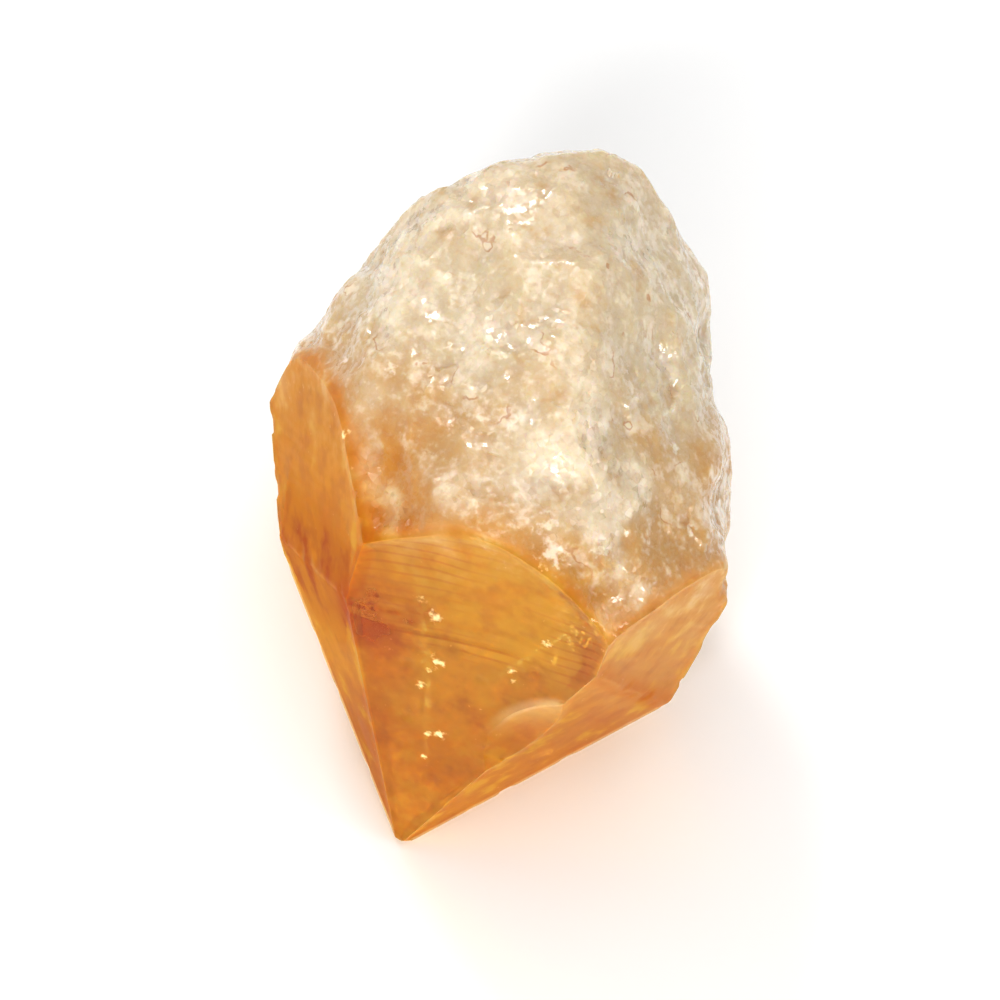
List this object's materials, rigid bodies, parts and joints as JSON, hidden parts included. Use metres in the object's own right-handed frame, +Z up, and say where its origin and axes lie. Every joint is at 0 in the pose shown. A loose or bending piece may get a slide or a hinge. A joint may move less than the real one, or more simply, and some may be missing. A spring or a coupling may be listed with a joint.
{
  "type": "citrine crystal point",
  "caption": "Loose six-sided quartz point lying on one of its tip faces: clear orange termination on a short body that turns milky towards a broken root.",
  "frame": {"origin": "middle of the crystal's bounding box in plan, on the surface it lies on", "axes": "+Z up; +Y along the crystal in plan, so that the pointed tip is at -Y on the surface and the milky root is raised at +Y; +X to the right as seen from the tip end"},
  "size_m": [0.0248, 0.0276, 0.0259],
  "materials": {
    "citrine": "clear orange to amber glassy tip with smooth growth faces, turning milky white to pinkish beige with a rough sugary break at the root"
  },
  "bodies": {
    "root": {"crystal_point": "citrine"}
  },
  "joints": []
}
